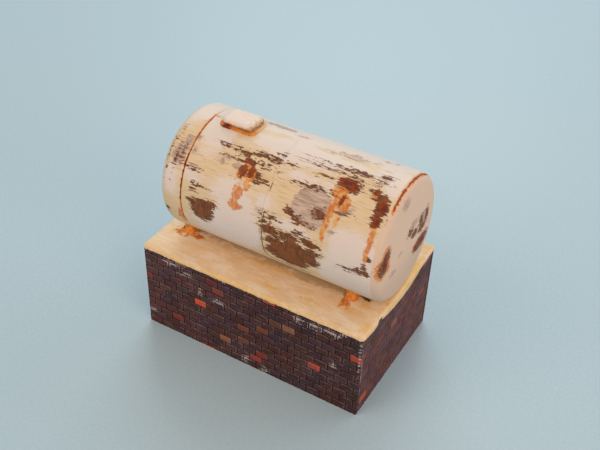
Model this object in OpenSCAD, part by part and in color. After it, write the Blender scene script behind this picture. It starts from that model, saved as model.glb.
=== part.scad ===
// Model of a horizontal storage tank on a brick-faced plinth.
// Frame: X along the tank, towards its closed end; Y towards the back; Z up.
// The origin is in the middle of the object's footprint, on the plinth's underside.

/* [Plinth] */
// Length of the plinth, along X
plinth_length = 90; // [86:1:100]
// Width of the plinth, along Y
plinth_width = 57; // [50:1:70]
// Height of the plinth, to the top of the ground skim
plinth_height = 37.5; // [25:0.5:50]
// Thickness of one brick sheet
brick_sheet = 1; // [0.6:0.1:1.6]
// Thickness of the ground skim on top
ground_thick = 1.4; // [1:0.1:2]
// How far the skim's lip stands out over the brick sheets
lip_out = 0.3; // [0.2:0.1:0.5]
// How far the skim's lip hangs down over the brick sheets
lip_drop = 1; // [0.4:0.1:3]

/* [Tank] */
// Outer radius of the tank
tank_radius = 22.5; // [20:0.5:25]
// Length of the tank over the cap and the closed end
tank_length = 86.1; // [84:0.1:90]
// Gap between the ground and the lowest line of the tank
tank_gap = 0.9; // [0.5:0.1:2]
// How far the tank's axis lies in front of the plinth's middle
axis_forward = 2; // [0:0.1:5]
// Thickness of the tub's side wall
tub_wall = 1.5; // [1.2:0.1:2]
// Thickness of the tub's closed end
tub_end_wall = 1.8; // [1.4:0.1:2.4]
// Radius of the tub's outer corner at the closed end
tub_corner = 2.8; // [2:0.1:3.5]
// Height of the dome on the closed end
tub_crown = 0.6; // [0.4:0.1:1]

/* [End cap] */
// Length of the cap, over its domed end
cap_length = 10.1; // [9:0.1:12]
// Width of the open groove between cap and tub
seam_gap = 0.6; // [0.4:0.1:0.8]
// Radius of the cap's outer shoulder
cap_shoulder = 3.6; // [3:0.1:4]
// Height of the dome on the cap
cap_crown = 1; // [0.6:0.1:1.2]
// Thickness of the cap's skirt
cap_skirt = 1.5; // [1.2:0.1:1.8]
// Radial running clearance between the tub's neck and the cap's bore
neck_clearance = 0.06; // [0.04:0.01:0.08]
// Length of the neck, from the groove's far side
neck_length = 5; // [4:0.1:5.2]
// Thickness of the neck's wall
neck_wall = 1.3; // [1:0.1:1.6]

/* [Wrapped plate] */
// Distance from the object's middle to the plate's left edge
plate_left = 2.3; // [-5:0.1:10]
// Length of the plate along the tank
plate_length = 39; // [30:0.5:39]
// Thickness of the plate
plate_thick = 0.25; // [0.15:0.05:0.4]
// Where the plate's lower front edge lies, in degrees from the top of the tank
plate_front_angle = 124; // [100:1:135]
// Where the plate's rear edge lies, in degrees from the top of the tank
plate_rear_angle = 95; // [60:1:135]
// Radius of the plate's corners
plate_corner = 5; // [2:0.5:7]

/* [Hatch] */
// Distance from the object's middle to the hatch's centre, towards the cap
hatch_offset = 18.9; // [15:0.1:20]
// Length of the flange along the tank
flange_length = 14.2; // [12:0.1:16]
// Width of the flange across the tank
flange_width = 9.8; // [8:0.1:12]
// Thickness of the flange where it hugs the tank
flange_thick = 0.7; // [0.5:0.1:1]
// Length of the lid along the tank
lid_length = 12.8; // [10:0.1:14]
// Width of the lid across the tank
lid_width = 8.8; // [7:0.1:10]
// Thickness of the lid
lid_thick = 2; // [1.5:0.1:3]
// Radius of the corners of flange and lid, seen from above
hatch_corner = 2; // [1:0.1:3]

/* [Feet] */
// Length of one foot along the tank
foot_length = 3.6; // [3:0.1:5]
// Width of one foot across the tank
foot_width = 4.6; // [3.5:0.1:6]
// Distance from the tank's axis to the middle of a foot
foot_offset = 9.9; // [8:0.1:12]
// Distance from the object's middle to the feet under the cap
foot_left = 35.6; // [33:0.1:37]
// Distance from the object's middle to the feet under the tub
foot_right = 31.7; // [25:0.1:38]
// Gap between the removable cap and the feet under it
foot_cap_gap = 0.3; // [0.2:0.05:0.5]

/* [Hidden] */
$fn = 96;
overcut = 1;

// The tub's closed end stands past the plinth, and the origin is in the middle of both together.
end_overhang = 1;
plinth_x = -end_overhang / 2;
overall_length = plinth_length + end_overhang;

sheet_length = plinth_length - 2 * lip_out;
sheet_width = plinth_width - 2 * lip_out;
sheet_height = plinth_height - ground_thick;
core_length = sheet_length - 2 * brick_sheet;
core_width = sheet_width - 2 * brick_sheet;

tank_right = overall_length / 2;
tank_left = tank_right - tank_length;
tank_y = -axis_forward;
tank_z = plinth_height + tank_gap + tank_radius;

cap_rim = tank_left + cap_length;
tub_shoulder = cap_rim + seam_gap;
tub_bore = tank_radius - tub_wall;
cap_bore = tank_radius - cap_skirt;
neck_outer = cap_bore - neck_clearance;
neck_inner = neck_outer - neck_wall;
neck_left = tub_shoulder - neck_length;
neck_chamfer = 0.3;
cap_inner_corner = 1.5;
cap_end_wall = 1.5;
cap_floor = tank_left + cap_crown + cap_end_wall;

flange_crown = tank_z + tank_radius + flange_thick;
lid_bed = 0.1;
lid_bottom = flange_crown - lid_bed;

// A block on the ground plane, centred on the plinth.
module plinth_block(length, width, height) {
    translate([plinth_x - length / 2, -width / 2, 0]) cube([length, width, height]);
}

// Turns a shape whose axis is Z into one that lies along the tank's axis.
module along_tank() {
    translate([0, tank_y, tank_z]) rotate([0, 90, 0]) children();
}

// Outline of half a round end that closes towards +Y: a wall of the given radius, a corner arc and
// a shallow dome whose top is at the height tip. It reaches down to the height base.
module domed_end(radius, corner, crown, base, tip) {
    rim = tip - crown;
    flat = radius - corner;
    dome = (flat * flat + crown * crown) / (2 * crown);
    translate([0, base]) square([radius, rim - corner - base]);
    translate([0, base]) square([flat, rim - base]);
    translate([flat, rim - corner]) circle(corner);
    intersection() {
        translate([0, tip - dome]) circle(dome, $fn = 360);
        translate([0, rim - corner]) square([flat, corner + crown]);
    }
}

// A flat rectangle with round corners, centred on the origin.
module rounded_rectangle(length, width, corner) {
    square([length, width - 2 * corner], center = true);
    square([length - 2 * corner, width], center = true);
    for (x = [-1, 1], y = [-1, 1]) {
        translate([x * (length / 2 - corner), y * (width / 2 - corner)]) circle(corner);
    }
}

module base_core() {
    color("burlywood") plinth_block(core_length, core_width, sheet_height);
}

// The front and back sheets run the full length, and cover the ends of the other two.
module brick_panel_long(side) {
    color("#5a4448")
    translate([plinth_x - sheet_length / 2, side * (sheet_width - brick_sheet) / 2 - brick_sheet / 2, 0])
    cube([sheet_length, brick_sheet, sheet_height]);
}

module brick_panel_short(side) {
    color("#54404a")
    translate([plinth_x + side * (sheet_length - brick_sheet) / 2 - brick_sheet / 2, -core_width / 2, 0])
    cube([brick_sheet, core_width, sheet_height]);
}

// The skim lies on the core and the sheets, and its lip hangs over the sheets' outer faces.
module ground_top() {
    color("#d8b488")
    difference() {
        translate([0, 0, sheet_height - lip_drop])
        plinth_block(plinth_length, plinth_width, ground_thick + lip_drop);
        translate([0, 0, -overcut]) plinth_block(sheet_length, sheet_width, sheet_height + overcut);
    }
}

// Half section of the tub: outer wall and closed end, less the hollow, with a neck at its mouth.
module tub_section() {
    difference() {
        union() {
            domed_end(tank_radius, tub_corner, tub_crown, tub_shoulder, tank_right);
            translate([0, neck_left + neck_chamfer])
            square([neck_outer, tub_shoulder - neck_left]);
            polygon([
                [0, neck_left], [neck_outer - neck_chamfer, neck_left],
                [neck_outer, neck_left + neck_chamfer], [0, neck_left + neck_chamfer]
            ]);
        }
        domed_end(
            tub_bore, tub_corner - 1, tub_crown, tub_shoulder + tub_wall, tank_right - tub_end_wall
        );
        translate([0, neck_left - overcut])
        square([neck_inner, tub_shoulder + tub_wall - neck_left + 2 * overcut]);
    }
}

module tank_body() {
    color("#d9c7ae") along_tank() rotate_extrude() tub_section();
}

// Half section of the cap, drawn with its closed end towards +Y.
module cap_section() {
    difference() {
        domed_end(tank_radius, cap_shoulder, cap_crown, -cap_rim, -tank_left);
        translate([0, -cap_rim - overcut]) square([cap_bore, cap_rim - cap_floor - cap_inner_corner + overcut]);
        translate([0, -cap_rim - overcut]) square([cap_bore - cap_inner_corner, cap_rim - cap_floor + overcut]);
        translate([cap_bore - cap_inner_corner, -cap_floor - cap_inner_corner]) circle(cap_inner_corner);
    }
}

module end_cap() {
    color("#dccab2") along_tank() mirror([0, 0, 1]) rotate_extrude() cap_section();
}

// A tube's wall around the tank, over the stretch of X from start to end.
module tank_sleeve(start, end, inner, outer) {
    along_tank() translate([0, 0, start]) difference() {
        cylinder(h = end - start, r = outer);
        translate([0, 0, -overcut]) cylinder(h = end - start + 2 * overcut, r = inner);
    }
}

// The wedge of space around the tank's axis from the top (0 degrees) to an angle down one side.
// side is -1 for the front and 1 for the back.
module side_wedge(angle, side, start, end) {
    reach = 2 * tank_radius;
    steps = 3;
    points = [for (i = [0:steps]) [-reach * cos(angle * i / steps), side * reach * sin(angle * i / steps)]];
    along_tank() translate([0, 0, start]) linear_extrude(end - start) polygon(concat([[0, 0]], points));
}

// What is cut off one corner of the plate: a square corner less its inscribed round.
// The cut is made along the tank's radius at that corner.
module plate_corner_cut(x, angle, toward_x, toward_turn) {
    outer = tank_radius + plate_thick;
    turn = 180 * plate_corner / (PI * outer);
    translate([x, tank_y, tank_z]) rotate([angle - toward_turn * turn, 0, 0])
    translate([0, 0, tank_radius - 2]) linear_extrude(4) difference() {
        translate([toward_x > 0 ? 0 : -overcut, toward_turn > 0 ? -2 * plate_corner : 0])
        square([plate_corner + overcut, 2 * plate_corner]);
        translate([toward_x > 0 ? 0 : plate_corner, 0]) circle(plate_corner);
    }
}

module wrap_plate() {
    plate_right = plate_left + plate_length;
    color("#dcc9ac") difference() {
        intersection() {
            tank_sleeve(plate_left, plate_right, tank_radius, tank_radius + plate_thick);
            union() {
                side_wedge(plate_front_angle, -1, plate_left, plate_right);
                side_wedge(plate_rear_angle, 1, plate_left, plate_right);
            }
        }
        plate_corner_cut(plate_left, plate_front_angle, -1, 1);
        plate_corner_cut(plate_right - plate_corner, plate_front_angle, 1, 1);
    }
}

module hatch_flange() {
    color("#c98b52") intersection() {
        tank_sleeve(-hatch_offset - flange_length, -hatch_offset + flange_length,
            tank_radius, tank_radius + flange_thick);
        translate([-hatch_offset, tank_y, tank_z])
        linear_extrude(lid_bottom - tank_z) rounded_rectangle(flange_length, flange_width, hatch_corner);
    }
}

module hatch_lid() {
    color("#e0cdb8") translate([-hatch_offset, tank_y, lid_bottom])
    linear_extrude(lid_thick) rounded_rectangle(lid_length, lid_width, hatch_corner);
}

// One foot: a block on the ground whose top is hollowed to the tank, with a gap above it.
module foot(x, side, gap) {
    color("#b5712f") difference() {
        translate([x - foot_length / 2, tank_y + side * foot_offset - foot_width / 2, plinth_height])
        cube([foot_length, foot_width, tank_radius / 2]);
        along_tank() translate([0, 0, x - foot_length])
        cylinder(h = 2 * foot_length, r = tank_radius + gap);
    }
}

base_core();
brick_panel_long(-1);  // brick_panel_front
brick_panel_short(1);  // brick_panel_right
brick_panel_long(1);  // brick_panel_back
brick_panel_short(-1);  // brick_panel_left
ground_top();
tank_body();
end_cap();
wrap_plate();
hatch_flange();
hatch_lid();
foot(-foot_left, -1, foot_cap_gap);  // foot_front_left
foot(foot_right, -1, 0);  // foot_front_right
foot(-foot_left, 1, foot_cap_gap);  // foot_rear_left
foot(foot_right, 1, 0);  // foot_rear_right
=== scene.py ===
"""Looks for a hand-made scenic model: a worn storage tank lying on a brick-faced plinth.

Lengths in this file are millimetres in the CAD's frame: X along the tank, Y to the back, Z up.
They turn into metres where a mesh is made. Angles round the tank are degrees from its top line,
and grow towards the front. Colours are sRGB, from 0 to 255.
"""

import math

import bmesh
import bpy
import numpy as np
from mathutils import Matrix, Vector


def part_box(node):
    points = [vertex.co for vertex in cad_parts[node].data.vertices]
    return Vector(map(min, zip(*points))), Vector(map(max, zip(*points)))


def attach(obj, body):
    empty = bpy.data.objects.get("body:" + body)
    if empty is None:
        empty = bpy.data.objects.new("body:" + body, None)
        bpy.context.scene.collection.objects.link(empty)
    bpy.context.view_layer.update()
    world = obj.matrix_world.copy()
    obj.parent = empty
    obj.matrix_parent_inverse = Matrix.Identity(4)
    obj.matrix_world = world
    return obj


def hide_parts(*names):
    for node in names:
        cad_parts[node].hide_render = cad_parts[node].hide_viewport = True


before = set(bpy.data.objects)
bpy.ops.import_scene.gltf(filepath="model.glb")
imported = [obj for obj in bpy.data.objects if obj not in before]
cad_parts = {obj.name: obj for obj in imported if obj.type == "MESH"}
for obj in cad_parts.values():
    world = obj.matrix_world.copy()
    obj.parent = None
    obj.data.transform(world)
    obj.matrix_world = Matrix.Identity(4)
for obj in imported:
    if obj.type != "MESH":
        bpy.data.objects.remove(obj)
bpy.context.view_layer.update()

MM = 0.001


def box_mm(node):
    """Lowest and highest corner of a CAD node, in mm."""
    low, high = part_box(node)
    return np.array(low) / MM, np.array(high) / MM


GROUND_LOW, GROUND_HIGH = box_mm("ground_top")
TUB_LOW, TUB_HIGH = box_mm("tank_body")
CAP_LOW, CAP_HIGH = box_mm("end_cap")
PLATE_LOW, PLATE_HIGH = box_mm("wrap_plate")
SHEET_TOP = box_mm("brick_panel_front")[1][2]

AXIS_Y, AXIS_Z = (TUB_LOW[1:] + TUB_HIGH[1:]) / 2
RADIUS = (TUB_HIGH[1] - TUB_LOW[1]) / 2

# Sizes that part.scad holds and no bounding box shows.
SHOULDER = -29.9
TUB_WALL = 1.5
TUB_END_WALL = 1.8
TUB_CORNER = 2.8
TUB_CROWN = 0.6
NECK_OUTER = 20.94
NECK_INNER = 19.64
NECK_CHAMFER = 0.3
CAP_BORE = 21.0
CAP_SHOULDER = 3.6
CAP_CROWN = 1.0
CAP_INNER_CORNER = 1.5
CAP_END_WALL = 1.5
PLATE_FRONT, PLATE_REAR = 124, -95
PLATE_CORNER = 5
FLANGE_THICK = 0.7
LIP_OUT = 0.3

TURN_STEPS = 480
DEGREE_MM = math.pi * RADIUS / 180


# ---- node graphs


def linear(colour):
    """An sRGB colour of three numbers from 0 to 255, as the linear RGBA that Blender uses."""
    parts = [c / 255 for c in colour]
    return [c / 12.92 if c <= 0.04045 else ((c + 0.055) / 1.055) ** 2.4 for c in parts] + [1]


class Graph:
    """The node tree of one new material. Each method adds a node and returns its output socket."""

    def __init__(self, name):
        self.material = bpy.data.materials.new(name)
        self.material.use_nodes = True
        self.tree = self.material.node_tree
        self.shader = self.tree.nodes["Principled BSDF"]
        self.place = self.vector("SCALE", self.add("ShaderNodeTexCoord").outputs["Object"], scale=1 / MM)

    def add(self, kind, inputs=None, **settings):
        node = self.tree.nodes.new(kind)
        for key, value in settings.items():
            setattr(node, key, value)
        for key, value in (inputs or {}).items():
            self.feed(node.inputs[key], value)
        return node

    def feed(self, socket, value):
        if isinstance(value, bpy.types.NodeSocket):
            self.tree.links.new(value, socket)
        else:
            socket.default_value = value

    def vector(self, operation, a, b=None, scale=None):
        inputs = {0: a}
        if b is not None:
            inputs[1] = b
        if scale is not None:
            inputs["Scale"] = scale
        return self.add("ShaderNodeVectorMath", inputs, operation=operation).outputs[0]

    def math(self, operation, a, b=0.0, clamp=False):
        return self.add("ShaderNodeMath", {0: a, 1: b}, operation=operation, use_clamp=clamp).outputs[0]

    def times(self, a, b):
        return self.math("MULTIPLY", a, b)

    def total(self, first, *others):
        for other in others:
            first = self.math("ADD", first, other)
        return first

    def noise(self, size, stretch=(1, 1, 1), detail=3, roughness=0.5, shift=0.0):
        """Noise from about 0.2 to 0.8, with lumps of the size in mm, stretched along each axis."""
        scaled = self.vector("MULTIPLY", self.place, [1 / (size * s) for s in stretch])
        moved = self.vector("ADD", scaled, [shift, shift, shift])
        inputs = {"Vector": moved, "Scale": 1.0, "Detail": detail, "Roughness": roughness}
        return self.add("ShaderNodeTexNoise", inputs).outputs["Fac"]

    def swing(self, noise, amount):
        """Noise moved to swing about zero, by the amount each way at most."""
        return self.add(
            "ShaderNodeMapRange",
            {"Value": noise, "From Min": 0.2, "From Max": 0.8, "To Min": -amount, "To Max": amount},
            clamp=False,
        ).outputs[0]

    def step(self, value, low, high, top=1.0):
        """A smooth step from 0 at low to top at high."""
        return self.add(
            "ShaderNodeMapRange",
            {"Value": value, "From Min": low, "From Max": high, "To Max": top},
            interpolation_type="SMOOTHSTEP",
        ).outputs[0]

    def mix(self, factor, a, b):
        node = self.add("ShaderNodeMix", data_type="RGBA")
        for socket, value in zip((node.inputs[0], node.inputs[6], node.inputs[7]), (factor, a, b)):
            if isinstance(value, tuple):
                value = linear(value)
            self.feed(socket, value)
        return node.outputs[2]

    def field(self, name):
        """A number that the mesh holds at its points."""
        return self.add("ShaderNodeAttribute", attribute_name=name).outputs["Fac"]

    def painted(self, name):
        """A colour that the mesh holds."""
        return self.add("ShaderNodeAttribute", attribute_name=name).outputs["Color"]

    def finish(self, colour, roughness, height, depth, specular=0.4):
        """Feeds the shader; height is bump of the depth in mm."""
        bump = self.add("ShaderNodeBump", {"Height": height, "Strength": 1.0, "Distance": depth * MM})
        self.feed(self.shader.inputs["Base Color"], colour)
        self.feed(self.shader.inputs["Roughness"], roughness)
        self.feed(self.shader.inputs["Normal"], bump.outputs[0])
        self.shader.inputs["Specular IOR Level"].default_value = specular
        return self.material


# ---- materials

CREAM = (224, 206, 182)
OFF_WHITE = (226, 213, 205)
YELLOWED = (222, 196, 154)
TAN_HAIR = (190, 158, 120)
# Beige of the flat ends, partly the paint's tone and partly painted warm light.
WARM_LIT_BEIGE = (214, 188, 164)
# Painted shade, low on the tank.
LOW_SHADE_TONE = (150, 128, 108)
MAUVE = (160, 132, 122)
PALE_MAUVE = (202, 180, 168)
BROWN = (98, 54, 30)
WARM_BROWN = (132, 76, 34)
RED_BROWN = (98, 38, 18)
RUST = (150, 62, 20)
ORANGE = (196, 100, 30)
PALE_ORANGE = (224, 158, 72)
LINE_BROWN = (104, 74, 46)
PLASTIC = (214, 204, 184)

LID_WHITE = (229, 214, 207)
LID_CREAM = (230, 208, 190)
LID_TAN = (200, 160, 108)
LID_SPOT = (104, 74, 52)
LID_RUST = (150, 70, 28)

WASH_PALE = (228, 158, 76)
WASH_ORANGE = (208, 118, 38)
WASH_CREAM = (228, 196, 148)
WASH_DARK = (112, 38, 14)
WASH_SPECK = (226, 170, 92)

BRICK_SOOT = (40, 26, 30)
BRICK_GRAIN = (132, 110, 112)
BRICK_EDGE = (150, 120, 116)
BRICK_SCUFF = (196, 184, 184)
BRICK_JOINT = (28, 16, 20)

FILLER_PALE = (240, 224, 202)
FILLER_SAND = (234, 205, 168)
FILLER_STROKE = (226, 194, 148)
FILLER_GRAIN = (204, 172, 134)
FILLER_OCHRE = (230, 186, 100)
# Painted shade along and under the tank.
FILLER_SHADE = (160, 138, 106)
FILLER_PALE_RUST = (226, 156, 66)
FILLER_RUST = (186, 98, 22)
# Dark of the torn notch in the lip, and of painted shadows under the tank.
FILLER_TORN_AND_SHADOW = (54, 38, 22)

WOOD_PALE = (206, 170, 122)
WOOD_RING = (176, 134, 86)
WOOD_FIBRE = (142, 104, 66)

TABLE_BLUE = (171, 197, 213)
TABLE_PALE = (177, 203, 219)
TABLE_GREY = (176, 200, 212)


def tank_coat(g, streaks, hairs, blotches):
    """The tank's paint: off-white where the coat is thick, yellowed with tan hair lines where it is thin."""
    coat = g.total(g.field("white"), g.swing(streaks, 1.5), g.swing(blotches, 2.5))
    white = g.step(coat, -0.7, 0.7)
    colour = g.mix(white, CREAM, OFF_WHITE)
    colour = g.mix(g.step(coat, -0.2, -3.0, 0.75), colour, YELLOWED)
    thin_coat = g.step(white, 1.0, 0.0)
    hair_lines = g.step(g.total(hairs, g.swing(blotches, 0.08)), 0.52, 0.68, 0.5)
    colour = g.mix(g.times(hair_lines, thin_coat), colour, TAN_HAIR)
    colour = g.mix(g.step(hairs, 0.62, 0.74, 0.3), colour, MAUVE)
    # Beige on the flat ends: partly the paint's own tone, partly painted warm light on the closed end.
    colour = g.mix(g.times(g.field("flat_end"), 0.75), colour, WARM_LIT_BEIGE)
    # Painted shade: darker towards the tank's bottom, most towards its closed end.
    return g.mix(g.field("low_shade"), colour, LOW_SHADE_TONE)


def tank_paint():
    """Cream paint over brown, dry-brushed along the tank, with rust runs. Most fields are depths in mm."""
    g = Graph("worn_tank_paint")
    streaks = g.noise(0.8, (8, 1, 1), detail=5, roughness=0.65)
    flecks = g.noise(1.0, (1.8, 1, 1), detail=4, roughness=0.7, shift=5)
    hairs = g.noise(0.34, (16, 1, 1), detail=3, shift=7)
    blotches = g.noise(5, (1.5, 1, 1), detail=4, roughness=0.6, shift=3)
    clumps = g.noise(1.3, (1, 1, 1.8), detail=4, roughness=0.6, shift=11)
    ragged = g.total(g.swing(streaks, 1.2), g.swing(flecks, 1.5), g.swing(hairs, 0.3))

    colour = tank_coat(g, streaks, hairs, blotches)
    grey = g.step(g.total(g.field("grey"), ragged), 0.0, 0.5, 0.85)
    brushed = g.step(g.total(streaks, g.swing(hairs, 0.1)), 0.42, 0.62)
    colour = g.mix(grey, colour, g.mix(brushed, MAUVE, PALE_MAUVE))
    strokes = g.total(g.field("brown"), g.swing(hairs, 2.4), g.swing(blotches, 0.8), g.swing(streaks, 0.8))
    colour = g.mix(g.step(strokes, 0.3, 0.9, 0.75), colour, BROWN)
    # The deeper a point lies in the brown, the more the raggedness counts: it cuts holes there.
    holes = g.total(1.0, g.times(g.math("MAXIMUM", g.field("brown"), 0.0), 0.3))
    brown = g.step(g.total(g.field("brown"), g.times(ragged, holes)), 0.0, 0.15, 0.95)
    warmth = g.step(g.total(clumps, g.times(g.field("brown"), 0.04)), 0.46, 0.68)
    colour = g.mix(brown, colour, g.mix(warmth, BROWN, WARM_BROWN))
    run = g.total(g.field("orange"), g.swing(clumps, 0.5), g.swing(flecks, 0.5), g.swing(streaks, 0.2))
    run_depth = g.total(clumps, g.swing(flecks, 0.1), g.times(g.field("orange"), 0.05))
    run_colour = g.mix(g.step(run_depth, 0.42, 0.66), PALE_ORANGE, ORANGE)
    colour = g.mix(g.step(run, -0.2, 0.4, 0.85), colour, run_colour)
    rust = g.step(g.total(g.field("rust"), g.swing(clumps, 0.5), g.swing(flecks, 0.6)), 0.0, 0.3, 0.9)
    colour = g.mix(rust, colour, g.mix(g.step(clumps, 0.42, 0.62), RED_BROWN, RUST))
    line = g.step(g.total(g.field("line"), g.swing(flecks, 0.16)), 0.0, 0.1, 0.85)
    colour = g.mix(line, colour, LINE_BROWN)
    colour = g.mix(g.field("bare"), colour, PLASTIC)

    stains = g.total(brown, rust)
    height = g.total(g.times(streaks, 0.5), g.times(flecks, 0.4), g.times(stains, -0.25))
    roughness = g.total(0.5, g.swing(clumps, 0.1), g.times(stains, 0.12))
    return g.finish(colour, roughness, height, 0.12, specular=0.3)


def hatch_paint():
    """The tank's off-white, thin and spotted at the lid's right end."""
    g = Graph("worn_hatch_paint")
    clumps = g.noise(1.1, detail=4, roughness=0.6)
    specks = g.noise(0.45, detail=2, shift=5)
    worn = g.total(g.field("worn"), g.swing(clumps, 0.4))
    colour = g.mix(g.step(clumps, 0.4, 0.7), LID_WHITE, LID_CREAM)
    colour = g.mix(g.step(worn, -0.1, 0.4, 0.8), colour, LID_TAN)
    spots = g.step(g.total(worn, g.swing(specks, 0.9)), 0.55, 0.75, 0.8)
    colour = g.mix(spots, colour, LID_SPOT)
    colour = g.mix(g.step(g.total(g.field("rust"), g.swing(clumps, 0.4)), 0.0, 0.3), colour, LID_RUST)
    return g.finish(colour, g.total(0.5, g.swing(clumps, 0.12)), g.total(clumps, specks), 0.08)


def rust_paint():
    """Orange and red-brown rust washes, thick and rough, with cream showing through."""
    g = Graph("rust_wash")
    clumps = g.noise(1.3, detail=4, roughness=0.65)
    specks = g.noise(0.4, detail=3, shift=9)
    colour = g.mix(g.step(clumps, 0.38, 0.62), WASH_PALE, WASH_ORANGE)
    pale = g.total(g.field("pale"), g.swing(clumps, 0.6), g.swing(specks, 0.3))
    colour = g.mix(g.step(pale, 0.0, 0.4, 0.9), colour, WASH_CREAM)
    depth = g.total(g.field("dark"), g.swing(clumps, 0.5))
    colour = g.mix(g.step(depth, -0.1, 0.5), colour, WASH_DARK)
    colour = g.mix(g.step(specks, 0.6, 0.75, 0.5), colour, WASH_SPECK)
    roughness = g.total(0.62, g.swing(specks, 0.12))
    return g.finish(colour, roughness, g.total(clumps, specks), 0.15, specular=0.25)


def brick_paint():
    """Embossed bricks painted one by one, with dark joints, dry-brushed edges and pale scuffs."""
    g = Graph("painted_brick")
    grain = g.noise(0.5, detail=4, roughness=0.7)
    patches = g.noise(2.2, detail=3, shift=4)
    wide = g.noise(9, detail=2, shift=14)
    strokes = g.noise(0.6, (4, 4, 1), detail=3, shift=8)
    specks = g.noise(0.35, detail=2, roughness=0.7, shift=21)
    shade = g.total(g.swing(grain, 0.6), g.swing(patches, 0.5), g.swing(wide, 0.3))
    colour = g.mix(g.step(shade, -0.1, 0.7, 0.55), g.painted("brick"), BRICK_SOOT)
    colour = g.mix(g.step(g.total(grain, g.swing(wide, 0.05)), 0.52, 0.74, 0.3), colour, BRICK_GRAIN)
    edge = g.total(g.field("edge"), g.swing(strokes, 0.8), g.swing(patches, 0.4), g.swing(wide, 0.5))
    colour = g.mix(g.step(edge, 0.5, 1.2, 0.32), colour, BRICK_EDGE)
    on_edges = g.times(g.field("edge"), 0.7)
    scuff = g.total(g.field("scuff"), g.swing(specks, 1.0), g.swing(grain, 0.5), on_edges)
    colour = g.mix(g.step(scuff, 0.75, 1.0, 0.75), colour, BRICK_SCUFF)
    joint = g.total(g.field("joint"), g.swing(grain, 0.4))
    colour = g.mix(g.step(joint, 0.25, 0.85, 0.9), colour, BRICK_JOINT)
    height = g.total(g.times(grain, 0.6), g.times(strokes, 0.4))
    return g.finish(colour, g.total(0.6, g.swing(grain, 0.15)), height, 0.1, specular=0.2)


def ground_paint():
    """Sand-coloured filler with ochre edges and rust washed out from under the tank, with painted shade and
    shadows along and under it.
    """
    g = Graph("ground_filler")
    sweeps = g.noise(4.5, (2.2, 1, 1), detail=5, roughness=0.65)
    strokes = g.noise(0.7, (6, 1.3, 1), detail=4, roughness=0.65, shift=12)
    clumps = g.noise(1.6, detail=4, roughness=0.6, shift=6)
    grain = g.noise(0.4, detail=3, roughness=0.7, shift=2)
    colour = g.mix(g.step(sweeps, 0.38, 0.62), FILLER_PALE, FILLER_SAND)
    colour = g.mix(g.step(strokes, 0.42, 0.64, 0.5), colour, FILLER_STROKE)
    colour = g.mix(g.step(grain, 0.5, 0.76, 0.4), colour, FILLER_GRAIN)
    ochre = g.total(g.field("ochre"), g.swing(clumps, 0.6), g.swing(grain, 0.5))
    colour = g.mix(g.step(ochre, -0.1, 0.9, 0.7), colour, FILLER_OCHRE)
    # Painted shade along the tank's foot and under the tank.
    tank_shade = g.total(g.field("tank_shade"), g.swing(clumps, 0.45), g.swing(sweeps, 0.4))
    colour = g.mix(g.step(tank_shade, 0.0, 0.6, 0.5), colour, FILLER_SHADE)
    orange = g.total(g.field("orange"), g.swing(clumps, 0.9), g.swing(grain, 0.3))
    rust_depth = g.total(clumps, g.times(g.field("orange"), 0.15))
    rust = g.mix(g.step(rust_depth, 0.44, 0.66), FILLER_PALE_RUST, FILLER_RUST)
    colour = g.mix(g.step(orange, 0.0, 0.4, 0.88), colour, rust)
    # Dark for the torn notch in the lip, and painted shadow in the gaps under the tank beside the front feet.
    torn_and_shadow = g.total(g.field("torn_and_shadow"), g.swing(clumps, 0.5))
    colour = g.mix(g.step(torn_and_shadow, 0.0, 0.3, 0.9), colour, FILLER_TORN_AND_SHADOW)
    height = g.total(g.times(sweeps, 0.5), g.times(clumps, 0.35), g.times(strokes, 0.2), g.times(grain, 0.15))
    return g.finish(colour, g.total(0.62, g.swing(clumps, 0.1)), height, 0.3, specular=0.2)


def wood():
    """Plain softwood for the block inside the plinth, with its grain along X."""
    g = Graph("softwood")
    rings = g.noise(2.5, (14, 1, 1), detail=4)
    fibres = g.noise(0.5, (20, 1, 1), detail=3, shift=5)
    colour = g.mix(g.step(rings, 0.35, 0.65), WOOD_PALE, WOOD_RING)
    colour = g.mix(g.step(fibres, 0.5, 0.75, 0.4), colour, WOOD_FIBRE)
    return g.finish(colour, g.total(0.65, g.swing(fibres, 0.1)), g.total(rings, fibres), 0.12, specular=0.3)


def floor_paint():
    """A pale blue table top, smooth, with a faint mottle."""
    g = Graph("pale_table")
    mottle = g.noise(1.2, detail=3)
    drift = g.noise(120, detail=1)
    colour = g.mix(g.step(mottle, 0.3, 0.7), TABLE_BLUE, TABLE_PALE)
    colour = g.mix(g.step(drift, 0.3, 0.7, 0.3), colour, TABLE_GREY)
    return g.finish(colour, g.total(0.38, g.swing(mottle, 0.03)), mottle, 0.01, specular=0.35)


# ---- mesh helpers


def lumps(points, size, seed, octaves=3):
    """Smooth seeded unevenness from about -1 to 1, with lumps of the size in mm."""
    random = np.random.default_rng(seed)
    height = np.zeros(points.shape[:-1])
    for octave in range(octaves):
        for _ in range(5):
            direction = random.normal(size=3)
            length = size * random.uniform(0.8, 1.3) / 2**octave
            direction *= 2 * math.pi / (length * np.linalg.norm(direction))
            height += np.sin(points @ direction + random.uniform(0, 2 * math.pi)) / (3 * 2**octave)
    return height


def smooth_step(value, low, high):
    t = np.clip((value - low) / (high - low), 0, 1)
    return t * t * (3 - 2 * t)


# The depth that stands for a point far from every patch.
OUTSIDE = -9


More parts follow.
